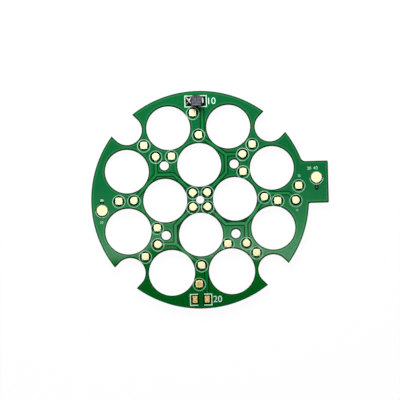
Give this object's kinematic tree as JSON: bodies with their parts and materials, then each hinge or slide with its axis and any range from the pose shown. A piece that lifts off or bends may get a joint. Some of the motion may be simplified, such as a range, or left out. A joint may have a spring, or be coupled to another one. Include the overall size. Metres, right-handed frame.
{
  "type": "ultrasound circuit board",
  "caption": "Round printed circuit board with holes for ultrasonic discs, ringed solder pads, a connecting tab and one chip inductor.",
  "frame": {"origin": "middle of the centre hole, on the underside of the laminate", "axes": "+X along the connecting tab, +Y towards the chip inductor, +Z out of the side with the pads"},
  "size_m": [0.0567, 0.052, 0.0038],
  "materials": {
    "laminate": "satin",
    "masked_ground_copper": "satin",
    "masked_signal_copper": "satin",
    "gold_finish": "satin",
    "via_fill": "satin",
    "ferrite": "matt",
    "enamelled_wire": "satin",
    "solder": "satin"
  },
  "bodies": {
    "root": {"ground_copper": "masked_ground_copper", "ground_pad_01": "gold_finish", "ground_pad_02": "gold_finish", "ground_pad_03": "gold_finish", "ground_pad_04": "gold_finish", "ground_pad_05": "gold_finish", "ground_pad_06": "gold_finish", "ground_pad_07": "gold_finish", "ground_pad_08": "gold_finish", "ground_pad_09": "gold_finish", "ground_pad_10": "gold_finish", "ground_pad_11": "gold_finish", "ground_pad_12": "gold_finish", "inductor_core": "ferrite", "inductor_ground_pad": "gold_finish", "inductor_left_terminal": "solder", "inductor_right_terminal": "solder", "inductor_signal_pad": "gold_finish", "inductor_winding": "enamelled_wire", "input_ground_pad": "gold_finish", "input_signal_pad": "gold_finish", "laminate": "laminate", "left_land": "gold_finish", "left_solder_joint": "solder", "left_via": "via_fill", "resistor_ground_pad": "gold_finish", "resistor_signal_pad": "gold_finish", "right_solder_joint": "solder", "signal_copper": "masked_signal_copper", "signal_pad_01": "gold_finish", "signal_pad_02": "gold_finish", "signal_pad_03": "gold_finish", "signal_pad_04": "gold_finish", "signal_pad_05": "gold_finish", "signal_pad_06": "gold_finish", "signal_pad_07": "gold_finish", "signal_pad_08": "gold_finish", "signal_pad_09": "gold_finish", "signal_pad_10": "gold_finish", "signal_pad_11": "gold_finish", "signal_pad_12": "gold_finish", "tab_land": "gold_finish", "tab_via": "via_fill"}
  },
  "joints": []
}
